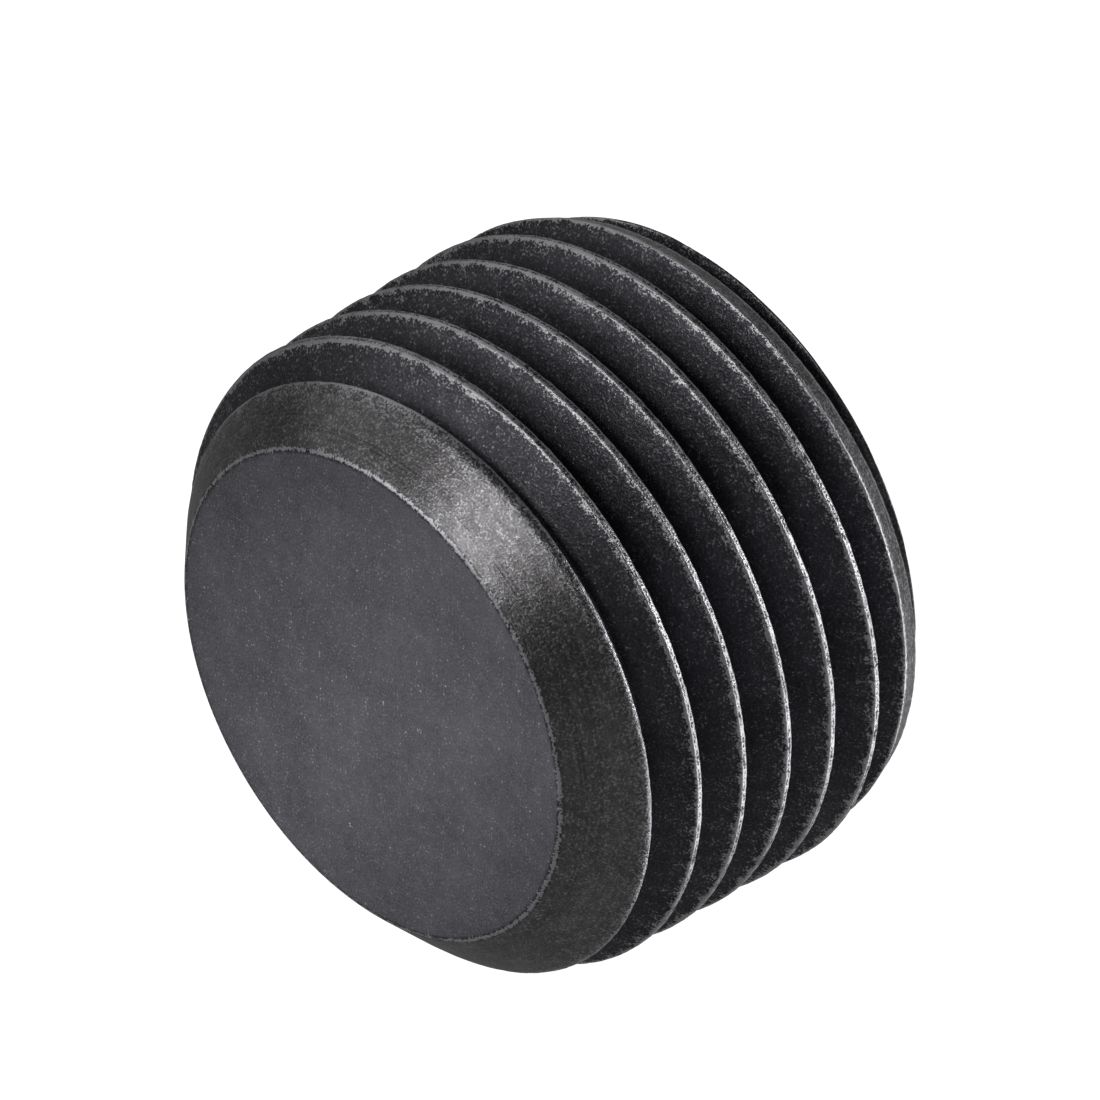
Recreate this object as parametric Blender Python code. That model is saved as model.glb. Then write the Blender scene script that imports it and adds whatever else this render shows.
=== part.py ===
"""A 1/2 inch taper-threaded steel pipe plug, lying on its side.

The plug is one solid piece of bar. Its small end is a plain flat face with a wide
chamfer, its outside carries a right-hand 14 per inch taper thread, and its large
end holds the socket for a 3/8 inch hex key.

The axis runs along +Y, from the small end to the large end, and the origin is the
centre of the small end's face, which is where a taper thread is measured from.
"""

import math

import bmesh
import bpy

MM = 0.001
INCH = 25.4 * MM

# The thread: 60 degree form, 1 in 16 taper on the diameter.
PITCH = INCH / 14
TAPER_PER_LENGTH = 1 / 32  # radius gained along the axis
SMALL_END_PITCH_RADIUS = 9.632 * MM
CREST_TRUNCATION = 0.096 * PITCH
ROOT_TRUNCATION = 0.075 * PITCH
FLANK_HALF_ANGLE = math.radians(30)
FIRST_CREST_Y = 1.071 * MM  # where the first crest crosses the top of the plug
THREAD_STEPS = 60  # round one turn
THREAD_TURNS = 12

# The blank's small end: a flat face, a 45 degree chamfer, and a long round that
# leaves the first crests a little under full height.
LENGTH = 9 / 16 * INCH
BLANK_RADIUS = 10.9 * MM  # clear of every crest
SMALL_FACE_RADIUS = 7.92 * MM
SMALL_CHAMFER = math.radians(45)  # to the axis
RIM_ROUND = 0.35 * MM  # where the small face meets its chamfer
LEAD_ROUND = 3.0 * MM  # where the chamfer meets the crests
LEAD_CLEARANCE = 0.02 * MM
ROUND_STEPS = 3
BLANK_STEPS = 72

# The blank's large end: a shallow cone down to a rim, then a steep one to the face.
LARGE_CONE = math.radians(21)  # to the axis
LARGE_RIM_RADIUS = 9.87 * MM
LARGE_RIM_Y = 13.2 * MM
LARGE_CHAMFER = math.radians(60)  # to the axis

# The key socket.
SOCKET_ACROSS_FLATS = 3 / 8 * INCH
SOCKET_DEPTH = 5 / 16 * INCH
SOCKET_POINT_DEPTH = 1.4 * MM  # the drill point past the hexagon
SOCKET_MOUTH_RADIUS = 6.0 * MM
SOCKET_MOUTH_SLOPE = math.radians(60)  # to the axis
CUTTER_OVERRUN = 2.0 * MM
HEX_SIDES = 6

BLACK_OXIDE = (0.022, 0.022, 0.025, 1.0)


def clear_scene():
    """Removes every object that the scene starts with."""
    for obj in list(bpy.data.objects):
        bpy.data.objects.remove(obj, do_unlink=True)


def add_material(name, colour, roughness, metallic):
    """Returns a Principled material with a plain colour."""
    material = bpy.data.materials.new(name)
    material.use_nodes = True
    shader = material.node_tree.nodes["Principled BSDF"]
    shader.inputs["Base Color"].default_value = colour
    shader.inputs["Roughness"].default_value = roughness
    shader.inputs["Metallic"].default_value = metallic
    return material


def add_object(name, bm):
    """Turns a bmesh into a linked object whose faces point outwards."""
    bmesh.ops.recalc_face_normals(bm, faces=bm.faces)
    mesh = bpy.data.meshes.new(name)
    bm.to_mesh(mesh)
    bm.free()
    obj = bpy.data.objects.new(name, mesh)
    bpy.context.scene.collection.objects.link(obj)
    return obj


def about_axis(radius, y, angle):
    """Returns the point at this angle about +Y, turning from +Z towards +X."""
    return (radius * math.sin(angle), y, radius * math.cos(angle))


def crest_radius(y):
    """Returns the radius of the crests at this distance from the small end."""
    sharp_half_height = PITCH / 4 / math.tan(FLANK_HALF_ANGLE)
    return SMALL_END_PITCH_RADIUS + sharp_half_height - CREST_TRUNCATION + TAPER_PER_LENGTH * y


def thread_form():
    """Returns one pitch of the thread as (offset along the axis, depth below the crest)."""
    crest_half = CREST_TRUNCATION * math.tan(FLANK_HALF_ANGLE)
    root_half = ROOT_TRUNCATION * math.tan(FLANK_HALF_ANGLE)
    depth = PITCH / 2 / math.tan(FLANK_HALF_ANGLE) - CREST_TRUNCATION - ROOT_TRUNCATION
    return (
        (-crest_half, 0.0),
        (crest_half, 0.0),
        (PITCH / 2 - root_half, depth),
        (PITCH / 2 + root_half, depth),
    )


def add_threaded_rod():
    """Makes the endless taper thread that the blank is trimmed to."""
    form = thread_form()
    bm = bmesh.new()
    rows = []
    for step in range(THREAD_STEPS * THREAD_TURNS + 1):
        turns = step / THREAD_STEPS - 2
        angle = 2 * math.pi * turns
        row = []
        for offset, depth in form:
            y = FIRST_CREST_Y + PITCH * turns + offset
            row.append(bm.verts.new(about_axis(crest_radius(y) - depth, y, angle)))
        rows.append(row)

    def form_line(step):
        """Returns the thread form's points at this step, up to the next turn's first."""
        return rows[step] + [rows[step + THREAD_STEPS][0]]

    last = len(rows) - 1 - THREAD_STEPS
    for step in range(last):
        near = form_line(step)
        far = form_line(step + 1)
        for i in range(len(form)):
            bm.faces.new((near[i], far[i], far[i + 1], near[i + 1]))

    starts = [row[0] for row in rows]
    front = bm.verts.new((0.0, starts[0].co.y, 0.0))
    back = bm.verts.new((0.0, starts[-1].co.y, 0.0))
    for step in range(THREAD_STEPS):
        bm.faces.new((front, starts[step + 1], starts[step]))
        bm.faces.new((back, starts[last + step], starts[last + step + 1]))
    for hub, line in ((front, form_line(0)), (back, form_line(last))):
        for first, second in zip(line, line[1:]):
            corners = (hub, first, second) if hub is front else (hub, second, first)
            bm.faces.new(corners)
    return add_object("thread_form", bm)


def arc(start, start_angle, end_angle, radius):
    """Returns (radius, y) points round an outside corner of the outline.

    The arc leaves start in the direction start_angle, measured from the face's plane
    towards +Y, and turns to end_angle.
    """
    centre_radius = start[0] - radius * math.sin(start_angle)
    centre_y = start[1] + radius * math.cos(start_angle)
    points = []
    for i in range(ROUND_STEPS + 1):
        angle = start_angle + (end_angle - start_angle) * i / ROUND_STEPS
        point_radius = centre_radius + radius * math.sin(angle)
        points.append((point_radius, centre_y - radius * math.cos(angle)))
    return points


def small_end_outline():
    """Returns the flat face's rim, the chamfer and the round up to the crests."""
    chamfer_angle = math.pi / 2 - SMALL_CHAMFER
    crest_angle = math.pi / 2 - math.atan(TAPER_PER_LENGTH)
    rim_setback = RIM_ROUND * math.tan(chamfer_angle / 2)
    rim = arc((SMALL_FACE_RADIUS - rim_setback, 0.0), 0.0, chamfer_angle, RIM_ROUND)

    # The corner that the long round takes off, where the chamfer would meet the crests.
    chamfer_slope = math.tan(SMALL_CHAMFER)
    rise = crest_radius(0.0) + LEAD_CLEARANCE - SMALL_FACE_RADIUS
    corner_y = rise / (chamfer_slope - TAPER_PER_LENGTH)
    setback = LEAD_ROUND * math.tan((crest_angle - chamfer_angle) / 2)
    start_y = corner_y - setback * math.cos(SMALL_CHAMFER)
    start = (SMALL_FACE_RADIUS + start_y * chamfer_slope, start_y)
    lead = arc(start, chamfer_angle, crest_angle, LEAD_ROUND)
    return rim + lead


def blank_outline():
    """Returns the blank's turned outline as (radius, y), from the axis to the axis."""
    small_end = small_end_outline()
    clear_y = small_end[-1][1] + BLANK_RADIUS - small_end[-1][0]
    cone_length = (BLANK_RADIUS - LARGE_RIM_RADIUS) / math.tan(LARGE_CONE)
    large_drop = (LENGTH - LARGE_RIM_Y) * math.tan(LARGE_CHAMFER)
    return [
        (0.0, 0.0),
        *small_end,
        (BLANK_RADIUS, clear_y),
        (BLANK_RADIUS, LARGE_RIM_Y - cone_length),
        (LARGE_RIM_RADIUS, LARGE_RIM_Y),
        (LARGE_RIM_RADIUS - large_drop, LENGTH),
        (0.0, LENGTH),
    ]


def add_turned(name, outline, steps):
    """Makes a closed turned solid about +Y from an outline that starts and ends on it."""
    bm = bmesh.new()
    first = bm.verts.new((0.0, outline[0][1], 0.0))
    last = bm.verts.new((0.0, outline[-1][1], 0.0))
    rings = []
    for radius, y in outline[1:-1]:
        angles = [2 * math.pi * (i + 0.5) / steps for i in range(steps)]
        rings.append([bm.verts.new(about_axis(radius, y, angle)) for angle in angles])
    for i in range(steps):
        j = (i + 1) % steps
        bm.faces.new((first, rings[0][i], rings[0][j]))
        for near, far in zip(rings, rings[1:]):
            bm.faces.new((near[i], far[i], far[j], near[j]))
        bm.faces.new((last, rings[-1][j], rings[-1][i]))
    return add_object(name, bm)


def add_socket_cutter():
    """Makes the hex prism with a drill point, standing out past the large end."""
    corner_radius = SOCKET_ACROSS_FLATS / math.sqrt(3)
    bm = bmesh.new()
    floor_y = LENGTH - SOCKET_DEPTH
    tip = bm.verts.new((0.0, floor_y - SOCKET_POINT_DEPTH, 0.0))
    cap = bm.verts.new((0.0, LENGTH + CUTTER_OVERRUN, 0.0))
    angles = [math.radians(60) * (i + 0.5) for i in range(HEX_SIDES)]
    floor = [bm.verts.new(about_axis(corner_radius, floor_y, angle)) for angle in angles]
    mouth = [bm.verts.new(about_axis(corner_radius, cap.co.y, angle)) for angle in angles]
    for i in range(HEX_SIDES):
        j = (i + 1) % HEX_SIDES
        bm.faces.new((tip, floor[i], floor[j]))
        bm.faces.new((floor[i], mouth[i], mouth[j], floor[j]))
        bm.faces.new((cap, mouth[j], mouth[i]))
    return add_object("socket_cutter", bm)


def add_mouth_cutter():
    """Makes the cone that chamfers the socket's corners."""
    slope = math.tan(SOCKET_MOUTH_SLOPE)
    outline = [
        (0.0, LENGTH - SOCKET_MOUTH_RADIUS / slope),
        (SOCKET_MOUTH_RADIUS + slope * CUTTER_OVERRUN, LENGTH + CUTTER_OVERRUN),
        (0.0, LENGTH + CUTTER_OVERRUN),
    ]
    return add_turned("socket_mouth_cutter", outline, BLANK_STEPS)


def cut(obj, other, operation):
    """Adds an exact Boolean of the other object, which stays out of the build."""
    modifier = obj.modifiers.new(other.name, "BOOLEAN")
    modifier.operation = operation
    modifier.solver = "EXACT"
    modifier.object = other
    other.hide_render = True
    other.display_type = "WIRE"


def add_plug_body():
    """Makes the plug: the chamfered blank, trimmed to the thread, with its socket."""
    body = add_turned("plug_body", blank_outline(), BLANK_STEPS)
    body.data.materials.append(add_material("black_oxide_steel", BLACK_OXIDE, 0.42, 0.9))
    cut(body, add_threaded_rod(), "INTERSECT")
    cut(body, add_socket_cutter(), "DIFFERENCE")
    cut(body, add_mouth_cutter(), "DIFFERENCE")
    body.data.shade_smooth()
    body.data.set_sharp_from_angle(angle=math.radians(25))
    return body


def main():
    clear_scene()
    add_plug_body()


main()
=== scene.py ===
"""A black-oxide steel pipe plug with a taper thread, dressed for a studio picture.

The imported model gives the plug's place and its box. The plug's skin is worked out here by
Geometry Nodes from the sizes of a 1/2 inch, 14 per inch taper thread, because its shape
follows a rule: one thread form runs round a helix and is cut back by a turned blank.

Lengths are in metres. +Y runs along the plug's axis from its small end to its large end.
"""

import ast
import logging
import math
from dataclasses import dataclass, field
from enum import Enum
from typing import Any, ClassVar

import bpy
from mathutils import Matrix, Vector

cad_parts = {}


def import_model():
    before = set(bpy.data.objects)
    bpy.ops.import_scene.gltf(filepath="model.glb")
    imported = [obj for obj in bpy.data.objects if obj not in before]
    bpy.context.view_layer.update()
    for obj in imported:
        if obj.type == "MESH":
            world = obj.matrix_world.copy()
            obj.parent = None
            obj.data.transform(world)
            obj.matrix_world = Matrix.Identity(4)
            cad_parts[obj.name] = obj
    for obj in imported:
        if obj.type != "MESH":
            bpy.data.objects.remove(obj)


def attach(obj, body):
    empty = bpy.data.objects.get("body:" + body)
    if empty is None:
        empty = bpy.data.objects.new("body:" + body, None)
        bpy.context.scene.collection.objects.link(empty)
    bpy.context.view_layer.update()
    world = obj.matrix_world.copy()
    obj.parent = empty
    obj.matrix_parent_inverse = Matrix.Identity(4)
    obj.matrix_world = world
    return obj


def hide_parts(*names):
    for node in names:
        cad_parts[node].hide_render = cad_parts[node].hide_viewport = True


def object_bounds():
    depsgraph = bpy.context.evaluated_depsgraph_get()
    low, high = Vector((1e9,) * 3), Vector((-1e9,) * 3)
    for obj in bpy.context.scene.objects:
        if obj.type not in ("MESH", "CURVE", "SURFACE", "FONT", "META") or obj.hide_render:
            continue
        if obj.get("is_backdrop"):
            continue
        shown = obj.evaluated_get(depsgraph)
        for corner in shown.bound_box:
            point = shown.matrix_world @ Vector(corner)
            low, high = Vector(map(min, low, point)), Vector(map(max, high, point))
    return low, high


MM = 0.001
INCH = 25.4 * MM

log = logging.getLogger("pipe_plug")

OPERATORS = {
    ast.Add: "ADD",
    ast.Sub: "SUBTRACT",
    ast.Mult: "MULTIPLY",
    ast.Div: "DIVIDE",
    ast.Pow: "POWER",
}
FUNCTIONS = {
    "abs": "ABSOLUTE",
    "cos": "COSINE",
    "exp": "EXPONENT",
    "floor": "FLOOR",
    "greater": "GREATER_THAN",
    "max": "MAXIMUM",
    "min": "MINIMUM",
    "round": "ROUND",
    "sin": "SINE",
    "smooth_max": "SMOOTH_MAX",
    "smooth_min": "SMOOTH_MIN",
    "sqrt": "SQRT",
    "wrap": "WRAP",
}


class Hand(Enum):
    """Which way a thread winds as it goes away from the small end."""

    RIGHT = 1
    LEFT = -1


def linear(colour: str) -> tuple[float, float, float, float]:
    """Turns an sRGB hex colour into linear light.

    Args:
        colour: Six hex digits, red first.

    Returns:
        Red, green, blue and an alpha of one.
    """
    shares = [int(colour[i : i + 2], 16) / 255 for i in (0, 2, 4)]
    light = [c / 12.92 if c <= 0.04045 else ((c + 0.055) / 1.055) ** 2.4 for c in shares]
    return (light[0], light[1], light[2], 1.0)


def add_node(
    tree: bpy.types.NodeTree,
    kind: str,
    settings: dict[str, Any] | None = None,
    links: dict[int | str, Any] | None = None,
) -> bpy.types.Node:
    """Adds a node to a tree with its settings and its inputs.

    Args:
        tree: The tree that the node goes in.
        kind: Blender's name for the node's type.
        settings: The node's own properties.
        links: What each input gets, by its name or number: a socket, or a plain value.

    Returns:
        The new node.
    """
    node = tree.nodes.new(kind)
    for name, value in (settings or {}).items():
        setattr(node, name, value)
    for name, value in (links or {}).items():
        if isinstance(value, bpy.types.NodeSocket):
            tree.links.new(value, node.inputs[name])
        else:
            node.inputs[name].default_value = value
    return node


def formula(tree: bpy.types.NodeTree, text: str, **values: Any) -> Any:
    """Adds the math nodes that work a formula out.

    Args:
        tree: The tree that the nodes go in.
        text: The formula, with the operators and functions listed above.
        values: The sockets and numbers that the formula's names stand for.

    Returns:
        The socket that holds the answer.
    """

    def work_out(term: ast.expr) -> Any:
        """Adds the nodes for one part of the formula.

        Args:
            term: The part, as parsed.

        Returns:
            The socket or number that it comes to.
        """
        if isinstance(term, ast.Constant):
            return float(term.value)
        if isinstance(term, ast.Name):
            return values[term.id]
        if isinstance(term, ast.BinOp):
            operation = OPERATORS[type(term.op)]
            parts = [term.left, term.right]
        else:
            operation = FUNCTIONS[term.func.id]
            parts = term.args
        worked = dict(enumerate(work_out(part) for part in parts))
        return add_node(tree, "ShaderNodeMath", {"operation": operation}, worked).outputs[0]

    return work_out(ast.parse(text).body[0].value)


@dataclass(frozen=True)
class TaperThread:
    """The plug's thread: 60 degree form, 1 in 16 taper on the diameter.

    Radii are where the thread would cross the small end's plane.
    """

    hand: Hand = Hand.RIGHT
    pitch: float = INCH / 14
    taper: float = 1 / 32
    pitch_radius: float = 9.632 * MM
    crest_truncation: float = 0.096
    root_truncation: float = 0.075
    flank_angle: float = math.radians(30)
    first_crest: float = 1.071 * MM

    @property
    def flank_slope(self) -> float:
        """Returns how far a flank runs along the axis for each unit of depth."""
        return math.tan(self.flank_angle)

    @property
    def crest_radius(self) -> float:
        """Returns the radius over the crests at the small end's plane."""
        sharp_half_height = self.pitch / 4 / self.flank_slope
        return self.pitch_radius + sharp_half_height - self.crest_truncation * self.pitch

    @property
    def crest_half(self) -> float:
        """Returns half the width of the flat on a full crest."""
        return self.crest_truncation * self.pitch * self.flank_slope

    @property
    def root_half(self) -> float:
        """Returns half the width of the flat in a root."""
        return self.root_truncation * self.pitch * self.flank_slope


@dataclass(frozen=True)
class Blank:
    """The turned bar that the thread is cut in."""

    length: float = 9 / 16 * INCH
    face_radius: float = 7.92 * MM
    chamfer: float = math.radians(45)
    face_round: float = 0.17 * MM
    lead_round: float = 1.0 * MM
    lead_clearance: float = 0.02 * MM
    large_cone: float = math.radians(21)
    rim_radius: float = 9.87 * MM
    rim_y: float = 13.2 * MM
    large_chamfer: float = math.radians(60)
    edge_round: float = 0.08 * MM


@dataclass(frozen=True)
class HexSocket:
    """The broached key socket in the large end."""

    across_flats: float = 3 / 8 * INCH
    depth: float = 5 / 16 * INCH
    drill_radius: float = 4.7 * MM
    drill_point: float = 1.4 * MM
    mouth_radius: float = 6.0 * MM
    mouth_slope: float = math.radians(60)


@dataclass(frozen=True)
class Wear:
    """How far the crests are torn and rubbed, as real sizes."""

    burr_height: float = 0.028 * MM
    burr_size: float = 0.22 * MM
    nick_depth: float = 0.10 * MM
    nick_size: float = 0.9 * MM
    wander: float = 0.038 * MM
    wander_size: float = 1.6 * MM
    edge_band: float = 0.055 * MM
    scuff_band: float = 0.30 * MM
    seed: float = 7.0


@dataclass
class SkinTree:
    """The Geometry Nodes tree that wraps the plug's skin round its axis.

    The skin is made of strips. Each strip is a flat grid, with the turn from 0 to 1 along
    its X and its rows along its Y, that is bent round the axis and welded to the next one.
    """

    thread: TaperThread
    blank: Blank
    socket: HexSocket
    wear: Wear
    turn_steps: int = 576
    tree: bpy.types.NodeTree = field(init=False)
    values: dict[str, float] = field(default_factory=dict)
    sizes: dict[str, Any] = field(default_factory=dict)
    identifiers: dict[str, str] = field(default_factory=dict)

    WELD: ClassVar[float] = 0.001 * MM
    LAND_STEPS: ClassVar[int] = 9
    THREAD_START: ClassVar[float] = 0.3 * MM  # where the thread's strip takes over
    SNAP: ClassVar[float] = 0.03 * MM  # rows this close to the strip's ends move onto them
    SOFT: ClassVar[float] = 0.025 * MM  # from a sharp edge to the row on each side of it
    RUN_OUT: ClassVar[float] = 0.36 * MM  # along the large chamfer, where the thread ends
    MARGIN: ClassVar[float] = 0.3 * MM  # from a rounded edge to the end of its close rows

    def build(self, material: bpy.types.Material) -> bpy.types.NodeTree:
        """Builds the whole tree.

        Args:
            material: The finish that the skin gets.

        Returns:
            The node tree.
        """
        self.tree = bpy.data.node_groups.new("plug_skin", "GeometryNodeTree")
        self.add_inputs()
        strips = [
            *self.small_end_strips(),
            self.thread_strip(),
            *self.large_end_strips(),
            *self.socket_strips(),
        ]
        joined = add_node(self.tree, "GeometryNodeJoinGeometry")
        for strip in reversed(strips):
            self.tree.links.new(strip, joined.inputs[0])
        welded = add_node(
            self.tree,
            "GeometryNodeMergeByDistance",
            links={"Geometry": joined.outputs[0], "Distance": self.WELD},
        )
        worn = self.roughened(welded.outputs[0])
        smooth = add_node(self.tree, "GeometryNodeSetShadeSmooth", links={"Geometry": worn})
        real = add_node(
            self.tree, "GeometryNodeRealizeInstances", links={"Geometry": smooth.outputs[0]}
        )
        dressed = add_node(
            self.tree,
            "GeometryNodeSetMaterial",
            links={"Geometry": real.outputs[0], "Material": material},
        )
        add_node(self.tree, "NodeGroupOutput", links={0: dressed.outputs[0]})
        return self.tree

    def add_inputs(self) -> None:
        """Gives the tree a named input for each size, and keeps what the inputs give."""
        thread, blank, socket, wear = self.thread, self.blank, self.socket, self.wear
        self.values = {
            "pitch": thread.pitch * thread.hand.value,
            "taper": thread.taper,
            "crest_radius": thread.crest_radius,
            "crest_half": thread.crest_half,
            "root_half": thread.root_half,
            "flank": thread.flank_slope,
            "first_crest": thread.first_crest,
            "length": blank.length,
            "face": blank.face_radius,
            "chamfer": math.tan(blank.chamfer),
            "face_round": blank.face_round,
            "lead_round": blank.lead_round,
            "clearance": blank.lead_clearance,
            "cone": math.tan(blank.large_cone),
            "rim": blank.rim_radius,
            "rim_y": blank.rim_y,
            "large_chamfer": math.tan(blank.large_chamfer),
            "edge_round": blank.edge_round,
            "flats": socket.across_flats / 2,
            "floor_y": blank.length - socket.depth,
            "drill": socket.drill_radius,
            "point": socket.drill_point,
            "mouth": socket.mouth_radius,
            "mouth_slope": math.tan(socket.mouth_slope),
            "start": self.THREAD_START,
            "burr": wear.burr_height,
            "burr_size": wear.burr_size,
            "nick": wear.nick_depth,
            "nick_size": wear.nick_size,
            "wander": wear.wander,
            "wander_size": wear.wander_size,
            "edge_band": wear.edge_band,
            "scuff_band": wear.scuff_band,
            "snap": self.SNAP,
            "soft": self.SOFT,
            "run_out": self.RUN_OUT,
            "margin": self.MARGIN,
            "seed": wear.seed,
        }
        interface = self.tree.interface
        interface.new_socket("Geometry", in_out="OUTPUT", socket_type="NodeSocketGeometry")
        for name in self.values:
            added = interface.new_socket(name, in_out="INPUT", socket_type="NodeSocketFloat")
            self.identifiers[name] = added.identifier
        group = add_node(self.tree, "NodeGroupInput")
        self.sizes = {name: group.outputs[name] for name in self.values}

    def work(self, text: str, **values: Any) -> Any:
        """Works a formula out from the tree's sizes and these other values."""
        return formula(self.tree, text, **self.sizes, **values)

    def grid(self, rows: int) -> tuple[Any, Any, Any]:
        """Adds a flat grid for a strip.

        Args:
            rows: How many gaps there are from row to row.

        Returns:
            The grid, its turn from 0 to 1, and its row from 0 to rows.
        """
        flat = add_node(
            self.tree,
            "GeometryNodeMeshGrid",
            links={"Vertices X": self.turn_steps + 1, "Vertices Y": rows + 1},
        )
        place = add_node(self.tree, "GeometryNodeInputPosition")
        split = add_node(self.tree, "ShaderNodeSeparateXYZ", links={0: place.outputs[0]})
        turn = self.work("x + 0.5", x=split.outputs[0])
        row = self.work("round((y + 0.5) * rows)", y=split.outputs[1], rows=rows)
        return flat.outputs[0], turn, row

    def wrap(self, grid: Any, turn: Any, radius: Any, along: Any) -> Any:
        """Bends a strip's grid round the axis.

        Args:
            grid: The flat grid.
            turn: The share of a turn at each point, from +Z towards +X.
            radius: The distance from the axis.
            along: The distance along the axis from the small end.

        Returns:
            The bent strip.
        """
        full = 2 * math.pi
        across = self.work("r * sin(turn * full)", r=radius, turn=turn, full=full)
        up = self.work("r * cos(turn * full)", r=radius, turn=turn, full=full)
        place = add_node(self.tree, "ShaderNodeCombineXYZ", links={0: across, 1: along, 2: up})
        moved = add_node(
            self.tree,
            "GeometryNodeSetPosition",
            links={"Geometry": grid, "Position": place.outputs[0]},
        )
        return moved.outputs[0]

    def stored(self, strip: Any, name: str, value: Any) -> Any:
        """Keeps a number on each point of a strip.

        Args:
            strip: The strip.
            name: The attribute that holds the number.
            value: The number.

        Returns:
            The strip with its attribute.
        """
        kept = add_node(
            self.tree,
            "GeometryNodeStoreNamedAttribute",
            {"data_type": "FLOAT", "domain": "POINT"},
            {"Geometry": strip, "Name": name, "Value": value},
        )
        return kept.outputs[0]

    def crest_y(self, turn: Any) -> Any:
        """Returns where the crest next to the small end lies at this turn."""
        return self.work("first_crest + pitch * turn", turn=turn)

    def thread_radius(self, turn: Any, along: Any) -> Any:
        """Works out the thread's own radius, with no blank to cut it back.

        Args:
            turn: The share of a turn.
            along: The distance along the axis.

        Returns:
            The radius.
        """
        offset = self.work(
            "abs(wrap(along - crest, pitch * 0.5, pitch * (0 - 0.5)))",
            along=along,
            crest=self.crest_y(turn),
        )
        return self.work(
            "crest_radius + taper * along"
            " - min(max(offset - crest_half, 0), pitch * 0.5 - root_half - crest_half) / flank",
            along=along,
            offset=offset,
        )

    def blank_radius(self, along: Any) -> Any:
        """Returns the blank's radius between the small chamfer and the large rim."""
        return self.work(
            "min(smooth_min(face + along * chamfer,"
            " crest_radius + taper * along + clearance, lead_round),"
            " rim + (rim_y - along) * cone)",
            along=along,
        )

    def land(self, crest: Any, side: Any) -> Any:
        """Returns how far the crest's land reaches to one side.

        The land ends where the flank comes up through the blank's surface. Each step puts
        the last answer into the flank's own line, which closes on that point. The reach
        stops short of the root, so that the rows between them never cross.

        Args:
            crest: Where the middle of the crest is along the axis.
            side: -1 towards the small end, or 1.

        Returns:
            The reach along the axis.
        """
        reach = self.work("crest_half * 1.0")
        for _ in range(self.LAND_STEPS):
            edge = self.work("crest + side * reach", crest=crest, side=side, reach=reach)
            reach = self.work(
                "min(max(crest_half, crest_half"
                " + flank * (crest_radius + taper * edge - blank)),"
                " pitch * 0.5 - root_half * 2.2)",
                edge=edge,
                blank=self.blank_radius(edge),
            )
        return reach

    def thread_strip(self) -> Any:
        """Makes the threaded outside.

        Its rows follow the helix: they close up along both edges of the crest's land and
        both corners of the root, which keeps the edges crisp as the blank cuts them back.

        Returns:
            The bent strip. Stored on it are the nearness to a crest's edge, the wider
            scuffing beside it, and where the blank's own turned surface is left.
        """
        places = [
            "0 * land",
            "land * 0.45",
            "land - soft",
            "land + min(soft, (root - land) * 0.15)",
            "land + (root - land) * 0.22",
            "land + (root - land) * 0.55",
            "root - soft",
            "root + soft",
            "pitch * 0.5",
        ]
        half = len(places) - 1
        pitches = math.ceil(self.blank.rim_y / self.thread.pitch) + 1
        grid, turn, row = self.grid(pitches * 2 * half)
        index = self.work("floor((row + half) / (half * 2))", row=row, half=half)
        step = self.work("row - index * half * 2", row=row, index=index, half=half)
        crest = self.work(
            "first + (index - 2) * pitch", first=self.crest_y(turn), index=index
        )
        side = self.work("greater(step, 0.5) * 2 - 1", step=step)
        land = self.land(crest, side)
        root = self.work("pitch * 0.5 - root_half")
        choice = add_node(
            self.tree,
            "GeometryNodeIndexSwitch",
            {"data_type": "FLOAT"},
            {"Index": self.work("round(abs(step))", step=step)},
        )
        for _ in range(len(places) - 2):
            choice.index_switch_items.new()
        for number, text in enumerate(places):
            value = self.work(text, land=land, root=root)
            self.tree.links.new(value, choice.inputs[1 + number])
        free = self.work(
            "crest + side * reach", crest=crest, side=side, reach=choice.outputs[0]
        )
        along = self.work(
            "start + (held - start) * greater(held - start, snap)",
            held=self.work("rim_y - max(rim_y - free, 0) * greater(rim_y - free, snap)", free=free),
        )
        thread = self.thread_radius(turn, along)
        blank = self.blank_radius(along)
        radius = self.work("min(thread, blank)", thread=thread, blank=blank)
        turned = self.work("greater(thread, blank)", thread=thread, blank=blank)
        off = self.work("abs(along - crest) - land", along=along, crest=crest, land=land)
        # Where the land nearly reaches the root there is no edge left to tear.
        fade = self.work(
            "min(max((root - land) / (root_half * 1.25) - 1, 0), 1)", root=root, land=land
        )
        edge = self.work("exp(0 - (off / edge_band) ** 2) * fade", off=off, fade=fade)
        scuff = self.work(
            "exp(0 - max(off, max(0 - off - crest_half * 1.1, 0)) / scuff_band) * fade",
            off=off,
            fade=fade,
        )
        marked = self.stored(grid, "crest_edge", edge)
        marked = self.stored(marked, "scuffed", scuff)
        marked = self.stored(marked, "turned", turned)
        return self.wrap(marked, turn, radius, along)

    def ring_strip(self, rows: int, start: str, end: str, place: str) -> Any:
        """Makes a strip whose rows are rings, from one radius to another.

        Args:
            rows: How many gaps there are from ring to ring.
            start: The formula for the first ring's radius.
            end: The formula for the last ring's radius.
            place: The formula for how far along the axis a radius r lies.

        Returns:
            The bent strip.
        """
        grid, turn, row = self.grid(rows)
        hexagon = self.hexagon(turn)
        first = self.work(start, hexagon=hexagon)
        last = self.work(end, hexagon=hexagon)
        radius = self.work("a + (b - a) * row / rows", a=first, b=last, row=row, rows=rows)
        along = self.work(place, r=radius)
        return self.wrap(self.stored(grid, "turned", 1.0), turn, radius, along)

    def hexagon(self, turn: Any) -> Any:
        """Returns the socket's radius at this turn, with a flat square to +Z."""
        return self.work(
            "flats / cos(wrap(turn * full, sixth * 0.5, sixth * (0 - 0.5)))",
            turn=turn,
            full=2 * math.pi,
            sixth=math.pi / 3,
        )

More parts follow.
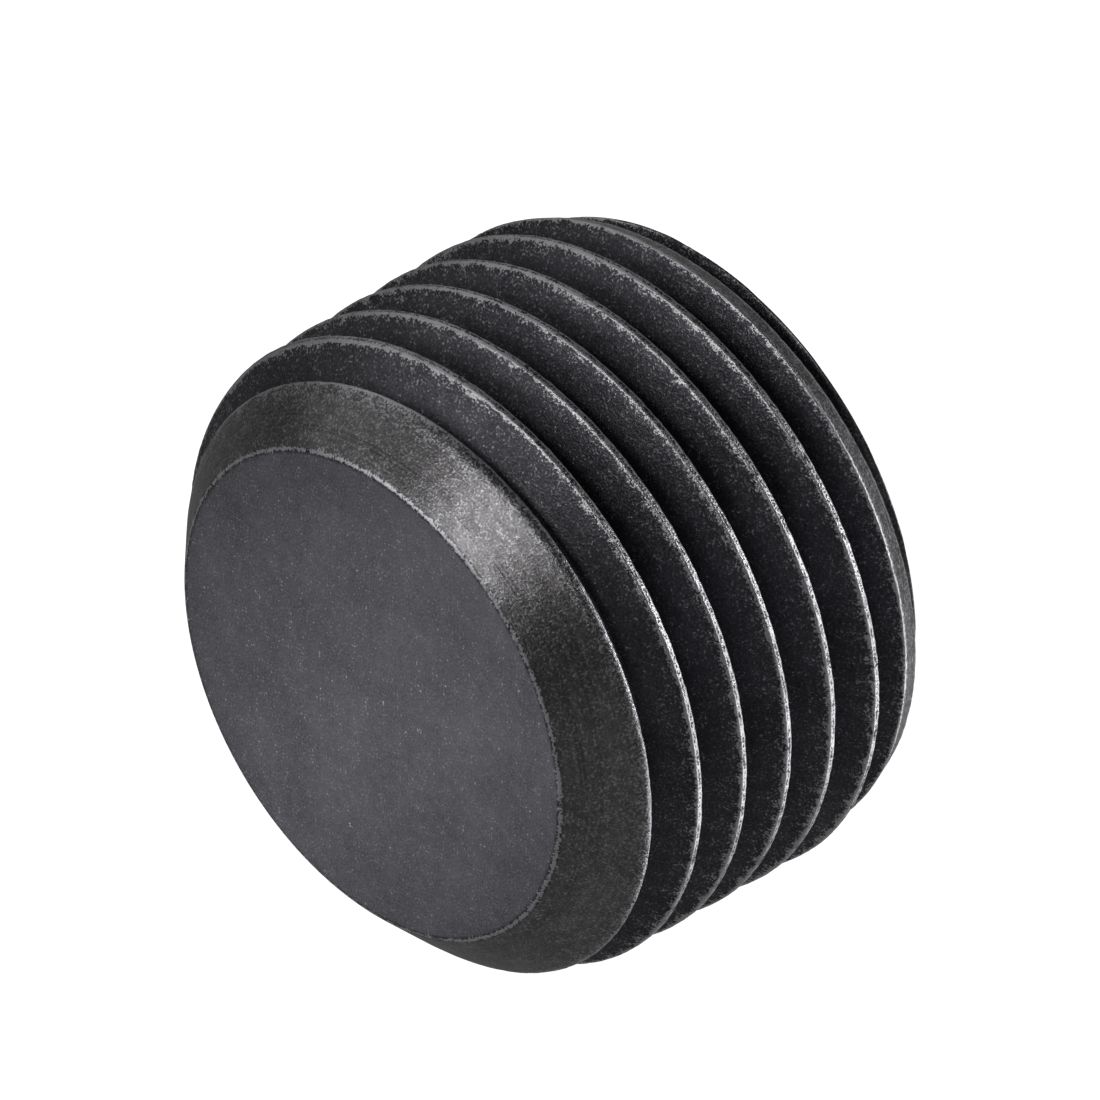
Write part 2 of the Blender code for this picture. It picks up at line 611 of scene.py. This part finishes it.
    def small_end_strips(self) -> list[Any]:
        """Makes the flat face, its rounded rim and the start of the chamfer.

        Returns:
            The strips, from the axis outwards.
        """
        place = "smooth_max(0, (r - face) / chamfer, face_round)"
        return [
            self.ring_strip(6, "0 * face", "face * 0.96", place),
            self.ring_strip(12, "face * 0.96", "face + start * chamfer", place),
        ]

    def large_end_strips(self) -> list[Any]:
        """Makes the large chamfer, which the thread runs out through, and the face.

        Returns:
            The strips, from the thread in to the socket.
        """
        rows = 8
        grid, turn, row = self.grid(rows)
        along = self.work("rim_y + run_out * row / rows", row=row, rows=rows)
        radius = self.work(
            "min(thread, rim - (along - rim_y) * large_chamfer)",
            thread=self.thread_radius(turn, along),
            along=along,
        )
        ending = self.wrap(self.stored(grid, "turned", 1.0), turn, radius, along)
        place = (
            "smooth_min(smooth_min(rim_y + (rim - r) / large_chamfer, length, edge_round),"
            " length - (mouth - r) / mouth_slope, edge_round)"
        )
        edge = "rim - (length - rim_y) * large_chamfer"
        stops = [
            "rim - run_out * large_chamfer",
            edge + " + margin",
            edge + " - margin",
            "mouth + margin",
            "mouth - margin * 2 / 3",
            "hexagon * 1.0",
        ]
        counts = [4, 6, 2, 6, 3]
        rings = [
            self.ring_strip(count, start, end, place)
            for count, start, end in zip(counts, stops, stops[1:])
        ]
        return [ending, *rings]

    def socket_strips(self) -> list[Any]:
        """Makes the hexagon's walls and the drilled floor.

        Returns:
            The strips, from the mouth down to the drill's point.
        """
        rows = 6
        grid, turn, row = self.grid(rows)
        hexagon = self.hexagon(turn)
        mouth = self.work("length - (mouth - hexagon) / mouth_slope", hexagon=hexagon)
        along = self.work(
            "top + (floor_y - top) * (row / rows) ** 3", top=mouth, row=row, rows=rows
        )
        walls = self.wrap(grid, turn, hexagon, along)
        place = "floor_y - max(0, drill - r) / drill * point"
        return [
            walls,
            self.ring_strip(2, "hexagon * 1.0", "drill * 1.0", place),
            self.ring_strip(4, "drill * 1.0", "0 * drill", place),
        ]

    def noise(self, size: Any, seed: float, detail: float = 2.0) -> Any:
        """Returns noise from -1 to 1 that follows the points' places.

        Args:
            size: The size of its lumps.
            seed: Which noise it is, added to the tree's own seed.
            detail: How many finer layers it has.

        Returns:
            The noise.
        """
        place = add_node(self.tree, "GeometryNodeInputPosition")
        made = add_node(
            self.tree,
            "ShaderNodeTexNoise",
            {"noise_dimensions": "4D"},
            {
                "Vector": place.outputs[0],
                "W": self.work("seed + other", other=seed),
                "Scale": self.work("1 / size", size=size),
                "Detail": detail,
            },
        )
        return self.work("(value - 0.5) * 2", value=made.outputs[0])

    def roughened(self, skin: Any) -> Any:
        """Tears and dents the crests a little, as a cut and handled thread is.

        Args:
            skin: The welded skin.

        Returns:
            The skin with its crests moved.
        """
        near = add_node(
            self.tree,
            "GeometryNodeInputNamedAttribute",
            {"data_type": "FLOAT"},
            {"Name": "crest_edge"},
        ).outputs[0]
        burrs = self.noise(self.sizes["burr_size"], 1.0)
        nicks = self.noise(self.sizes["nick_size"], 2.0, 3.0)
        drift = self.noise(self.sizes["wander_size"], 3.0)
        out = self.work(
            "near * (burrs * burr - max(nicks - 0.45, 0) * nick)",
            near=near,
            burrs=burrs,
            nicks=nicks,
        )
        shift = self.work(
            "near * (drift * wander + burrs * burr * 0.6)", near=near, drift=drift, burrs=burrs
        )
        normal = add_node(self.tree, "GeometryNodeInputNormal")
        push = add_node(
            self.tree,
            "ShaderNodeVectorMath",
            {"operation": "SCALE"},
            {0: normal.outputs[0], "Scale": out},
        )
        slide = add_node(self.tree, "ShaderNodeCombineXYZ", links={1: shift})
        both = add_node(
            self.tree,
            "ShaderNodeVectorMath",
            {"operation": "ADD"},
            {0: push.outputs[0], 1: slide.outputs[0]},
        )
        moved = add_node(
            self.tree, "GeometryNodeSetPosition", links={"Geometry": skin, "Offset": both.outputs[0]}
        )
        return moved.outputs[0]


@dataclass(frozen=True)
class BlackOxideSteel:
    """Plain carbon steel, turned and threaded, then blacked in a hot oxide bath.

    The oxide gives the eye a dark, slightly violet satin with a fine glitter of metal
    grains in it. Where a tool has turned it smooth it is brighter and browner, and along
    every crest it is torn and rubbed off to bright steel. The real grain is a few
    hundredths of a millimetre; it is drawn coarser, as is the mottle, so that it shows.
    """

    name: str = "hot_blacked_steel"
    slot: str = "black_oxide_steel"
    oxide: str = "4b4a50"
    oxide_pale: str = "7a797f"
    turned_oxide: str = "757376"
    turned_pale: str = "a8a5a6"
    glint: str = "e6e6ea"
    bare: str = "ececf0"
    roughness: float = 0.41
    turned_roughness: float = 0.34
    bare_roughness: float = 0.34
    grain: float = 0.075 * MM
    mottle: float = 0.38 * MM
    rim_radius: float = 7.93 * MM
    rim_width: float = 0.08 * MM
    score_radius: float = 8.40 * MM
    score_width: float = 0.022 * MM
    blotch: float = 2.5 * MM
    mark_width: float = 0.07 * MM
    mark_length: float = 5.0 * MM
    skim: float = 0.08 * MM
    score_reach: float = 1.1 * MM
    wear_start: float = 0.58
    glint_start: float = 0.63
    glint_share: float = 0.6
    bump_strength: float = 0.8
    bump_height: float = 0.02 * MM

    def build(self) -> bpy.types.Material:
        """Makes the material from noise in the plug's own coordinates and its attributes.

        Returns:
            The node material.
        """
        material = bpy.data.materials.new(self.name)
        material.use_nodes = True
        tree = material.node_tree
        tree.nodes.clear()
        place = add_node(tree, "ShaderNodeTexCoord").outputs["Object"]
        x, y, z = add_node(tree, "ShaderNodeSeparateXYZ", links={0: place}).outputs
        edge, scuffed, attribute = [
            add_node(tree, "ShaderNodeAttribute", {"attribute_name": name}).outputs["Fac"]
            for name in ("crest_edge", "scuffed", "turned")
        ]
        grains = self.pattern(tree, place, self.grain, 3.0)
        blotches = self.pattern(tree, place, self.blotch, 4.0)
        marks = self.tool_marks(tree, x, y, z)
        turned = formula(
            tree, "attribute * min(max(y / skim - 0.5, 0), 1)",
            attribute=attribute, y=y, skim=self.skim,
        )
        mottle = self.pattern(tree, place, self.mottle, 1.0)
        out = formula(tree, "sqrt(x * x + z * z)", x=x, z=z)
        rim = formula(
            tree,
            "exp(0 - ((out - radius) / width) ** 2) * greater(width * 6, y)",
            out=out, y=y, radius=self.rim_radius, width=self.rim_width,
        )
        score = formula(
            tree,
            "(exp(0 - ((out - radius) / width) ** 2) + exp(0 - ((out - radius) / width - 4) ** 2))"
            " * min(max((blotches - 0.42) * 4, 0), 1) * greater(reach, y)",
            out=out, y=y, blotches=blotches, radius=self.score_radius, width=self.score_width,
            reach=self.score_reach,
        )
        worn = formula(
            tree,
            "min(max((edge * 0.9 + max(scuffed - 0.88, 0) * 5 + rim * 1.05"
            " + (grains - 0.5) * 2.8 + (mottle - 0.5) * 1.4 - start) * 3, 0), 1)",
            edge=edge, scuffed=scuffed, rim=rim, grains=grains, mottle=mottle,
            start=self.wear_start,
        )
        sparkle = formula(
            tree,
            "min(max((grains + (mottle - 0.5) * 0.2 + turned * 0.075 + scuffed * 0.10 - start)"
            " * 10, 0), 1) * share",
            grains=grains, mottle=mottle, turned=turned, scuffed=scuffed,
            start=self.glint_start, share=self.glint_share,
        )
        pale = formula(
            tree,
            "min(max((grains - 0.5) * 2.2 + (blotches - 0.5) * 0.9"
            " + (mottle - 0.5) * (0.5 + turned * 0.35)"
            " + (marks - 0.5) * turned - score * 0.6 + 0.45, 0), 1)",
            grains=grains, blotches=blotches, mottle=mottle, marks=marks, turned=turned, score=score,
        )
        plain = self.mixed(tree, pale, linear(self.oxide), linear(self.oxide_pale))
        smooth = self.mixed(tree, pale, linear(self.turned_oxide), linear(self.turned_pale))
        oxide = self.mixed(tree, turned, plain, smooth)
        glinting = self.mixed(tree, sparkle, oxide, linear(self.glint))
        colour = self.mixed(tree, worn, glinting, linear(self.bare))
        roughness = formula(
            tree,
            "satin + (smooth - satin) * turned * (1 - worn) + (bare - satin) * worn"
            " + (grains - 0.5) * 0.2",
            satin=self.roughness, smooth=self.turned_roughness, bare=self.bare_roughness,
            turned=turned, worn=worn, grains=grains,
        )
        height = formula(
            tree,
            "grains * (0.6 + turned * 0.1 + scuffed) + mottle * (0.2 + turned * 0.15)"
            " + marks * (0.1 + turned * 0.2) - score * 0.25",
            grains=grains, mottle=mottle, marks=marks, turned=turned, scuffed=scuffed, score=score,
        )
        bump = add_node(
            tree,
            "ShaderNodeBump",
            links={
                "Strength": self.bump_strength,
                "Distance": self.bump_height,
                "Height": height,
            },
        ).outputs[0]
        shader = add_node(
            tree,
            "ShaderNodeBsdfPrincipled",
            links={
                "Base Color": colour,
                "Metallic": 1.0,
                "Roughness": roughness,
                "Normal": bump,
            },
        )
        add_node(tree, "ShaderNodeOutputMaterial", links={0: shader.outputs[0]})
        return material

    def pattern(self, tree: bpy.types.NodeTree, place: Any, size: float, detail: float) -> Any:
        """Returns noise from 0 to 1 with lumps of this size."""
        return add_node(
            tree,
            "ShaderNodeTexNoise",
            links={"Vector": place, "Scale": 1 / size, "Detail": detail, "Roughness": 0.6},
        ).outputs[0]

    def mixed(self, tree: bpy.types.NodeTree, share: Any, first: Any, second: Any) -> Any:
        """Returns the first colour turned towards the second by this share."""
        return add_node(
            tree, "ShaderNodeMix", {"data_type": "RGBA"}, {0: share, 6: first, 7: second}
        ).outputs[2]

    def tool_marks(self, tree: bpy.types.NodeTree, x: Any, y: Any, z: Any) -> Any:
        """Returns the lines that the tool leaves round the plug, from 0 to 1.

        Args:
            tree: The material's tree.
            x: The place along X.
            y: The place along the axis.
            z: The place along Z.

        Returns:
            The lines, which fade in and out along their length.
        """
        across = formula(
            tree, "(sqrt(x * x + z * z) * 0.6 + y) / width", x=x, y=y, z=z, width=self.mark_width
        )
        along = [formula(tree, "a / length", a=a, length=self.mark_length) for a in (x, z)]
        streak = add_node(
            tree, "ShaderNodeCombineXYZ", links={0: across, 1: along[0], 2: along[1]}
        ).outputs[0]
        return add_node(
            tree, "ShaderNodeTexNoise", links={"Vector": streak, "Scale": 1.0, "Detail": 2.0}
        ).outputs[0]


@dataclass
class PipePlug:
    """The plug, turned, threaded and broached from one piece of bar."""

    thread: TaperThread = field(default_factory=TaperThread)
    blank: Blank = field(default_factory=Blank)
    socket: HexSocket = field(default_factory=HexSocket)
    wear: Wear = field(default_factory=Wear)
    finish: BlackOxideSteel = field(default_factory=BlackOxideSteel)
    name: str = "pipe_plug"
    node: str = "plug_body"
    body: str = "root"

    def build(self) -> bpy.types.Object:
        """Makes the plug's mesh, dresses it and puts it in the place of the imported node.

        Returns:
            The plug.
        """
        skin = SkinTree(self.thread, self.blank, self.socket, self.wear)
        source = bpy.data.objects.new("plug_source", bpy.data.meshes.new("plug_source"))
        bpy.context.scene.collection.objects.link(source)
        modifier = source.modifiers.new("skin", "NODES")
        steel = self.finish.build()
        modifier.node_group = skin.build(steel)
        for name, value in skin.values.items():
            modifier[skin.identifiers[name]] = float(value)
        bpy.context.view_layer.update()
        graph = bpy.context.evaluated_depsgraph_get()
        mesh = bpy.data.meshes.new_from_object(source.evaluated_get(graph), depsgraph=graph)
        mesh.name = self.name
        mesh.materials.clear()
        mesh.materials.append(steel)
        bpy.data.objects.remove(source)
        plug = bpy.data.objects.new(self.name, mesh)
        bpy.context.scene.collection.objects.link(plug)
        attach(plug, self.body)
        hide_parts(self.node)
        return plug


@dataclass(frozen=True)
class SoftBox:
    """A square studio light with a diffuser, aimed at the plug.

    Azimuth 0 is in front of the small face, and it grows towards +X.
    """

    name: str
    azimuth: float
    elevation: float
    side: float
    power: float
    distance: float = 0.3

    def build(self, aim: Vector) -> bpy.types.Object:
        """Makes the light.

        Args:
            aim: The point that it faces.

        Returns:
            The light's object.
        """
        data = bpy.data.lights.new(self.name, "AREA")
        data.shape = "SQUARE"
        data.size = self.side
        data.energy = self.power
        lamp = bpy.data.objects.new(self.name, data)
        away = direction(self.azimuth, self.elevation)
        lamp.location = aim + away * self.distance
        lamp.rotation_euler = away.to_track_quat("Z", "Y").to_euler()
        lamp.visible_camera = False
        bpy.context.scene.collection.objects.link(lamp)
        return lamp


def direction(azimuth: float, elevation: float) -> Vector:
    """Turns two angles into a direction.

    Args:
        azimuth: Degrees from in front of the small face towards +X.
        elevation: Degrees above the table.

    Returns:
        The unit vector that way.
    """
    turn, rise = math.radians(azimuth), math.radians(elevation)
    flat = math.cos(rise)
    return Vector((math.sin(turn) * flat, -math.cos(turn) * flat, math.sin(rise)))


@dataclass
class Studio:
    """The pale floor, the soft lights and the camera."""

    azimuth: float = 44.932
    elevation: float = 34.274
    distance: float = 268.0 * MM
    aim: tuple[float, float, float] = (1.12 * MM, 6.44 * MM, 2.66 * MM)
    lens: float = 296.37
    sensor: float = 36.0
    floor_side: float = 6.0
    floor_colour: str = "f4f4f4"
    lights: tuple[SoftBox, ...] = (
        SoftBox("table_box", -31.5, -30.7, 0.018, 0.00105, 0.036),
        SoftBox("left_box", -60, 28, 0.14, 0.020),
        SoftBox("high_left_box", -100, 42, 0.20, 0.05),
        SoftBox("front_box", -24, 15, 0.14, 0.065),
        SoftBox("high_front_box", 4, 38, 0.10, 0.115),
        SoftBox("wall_box", 126, 12, 0.13, 0.22),
        SoftBox("back_table_box", 134, -36, 0.16, 0.16),
    )
    light_above: float = 0.03
    light_below: float = 0.12
    light_behind: float = 0.08

    def build_camera(self) -> bpy.types.Object:
        """Makes the camera and gives it to the scene.

        Returns:
            The camera.
        """
        data = bpy.data.cameras.new("view")
        data.lens = self.lens
        data.sensor_width = self.sensor
        data.clip_start = 0.01
        camera = bpy.data.objects.new("view", data)
        away = direction(self.azimuth, self.elevation)
        camera.location = Vector(self.aim) + away * self.distance
        camera.rotation_euler = away.to_track_quat("Z", "Y").to_euler()
        bpy.context.scene.collection.objects.link(camera)
        bpy.context.scene.camera = camera
        return camera

    def build_floor(self, height: float) -> bpy.types.Object:
        """Makes the floor, which is as bright as white paper under a studio light.

        Args:
            height: How high it lies.

        Returns:
            The floor.
        """
        half = self.floor_side / 2
        corners = [(-half, -half), (half, -half), (half, half), (-half, half)]
        mesh = bpy.data.meshes.new("floor")
        mesh.from_pydata([(x, y, height) for x, y in corners], [], [(0, 1, 2, 3)])
        material = bpy.data.materials.new("white_paper")
        material.use_nodes = True
        shader = material.node_tree.nodes["Principled BSDF"]
        shader.inputs["Base Color"].default_value = linear(self.floor_colour)
        shader.inputs["Roughness"].default_value = 0.9
        shader.inputs["Emission Color"].default_value = (1.0, 1.0, 1.0, 1.0)
        shader.inputs["Emission Strength"].default_value = 1.0
        mesh.materials.append(material)
        floor = bpy.data.objects.new("floor", mesh)
        bpy.context.scene.collection.objects.link(floor)
        floor.visible_diffuse = False
        floor.visible_glossy = False
        floor.visible_shadow = False
        floor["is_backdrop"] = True
        return floor

    def build_world(self) -> None:
        """Gives the room its light: dim above, with a pale table and a pale wall behind.

        Depth and height run from -1 to 1 with the direction that is looked in. The table's
        light fades in below the horizon, and the wall's towards +Y and away from overhead.
        """
        world = bpy.data.worlds.new("room")
        world.use_nodes = True
        tree = world.node_tree
        background = tree.nodes["Background"]
        place = add_node(tree, "ShaderNodeTexCoord").outputs["Generated"]
        _, depth, height = add_node(tree, "ShaderNodeSeparateXYZ", links={0: place}).outputs
        strength = formula(
            tree,
            "above + (below - above) * min(max(0.5 - height * 8, 0), 1)"
            " + behind * min(max((depth - 0.25) * 3, 0), 1) * min(max((0.75 - height) * 4, 0), 1)",
            depth=depth, height=height, above=self.light_above, below=self.light_below,
            behind=self.light_behind,
        )
        tree.links.new(strength, background.inputs["Strength"])
        background.inputs["Color"].default_value = (1.0, 1.0, 1.0, 1.0)
        bpy.context.scene.world = world

    def build(self, floor_height: float) -> None:
        """Makes the whole studio.

        Args:
            floor_height: How high the floor lies.
        """
        self.build_camera()
        self.build_floor(floor_height)
        self.build_world()
        for light in self.lights:
            light.build(Vector(self.aim))
        bpy.context.scene.view_settings.view_transform = "Standard"


def main() -> None:
    """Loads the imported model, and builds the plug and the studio."""
    logging.basicConfig(level=logging.INFO, format="%(name)s: %(message)s")
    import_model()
    cad_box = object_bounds()
    plug = PipePlug().build()
    Studio().build(cad_box[0].z)


if __name__ == "__main__":
    main()
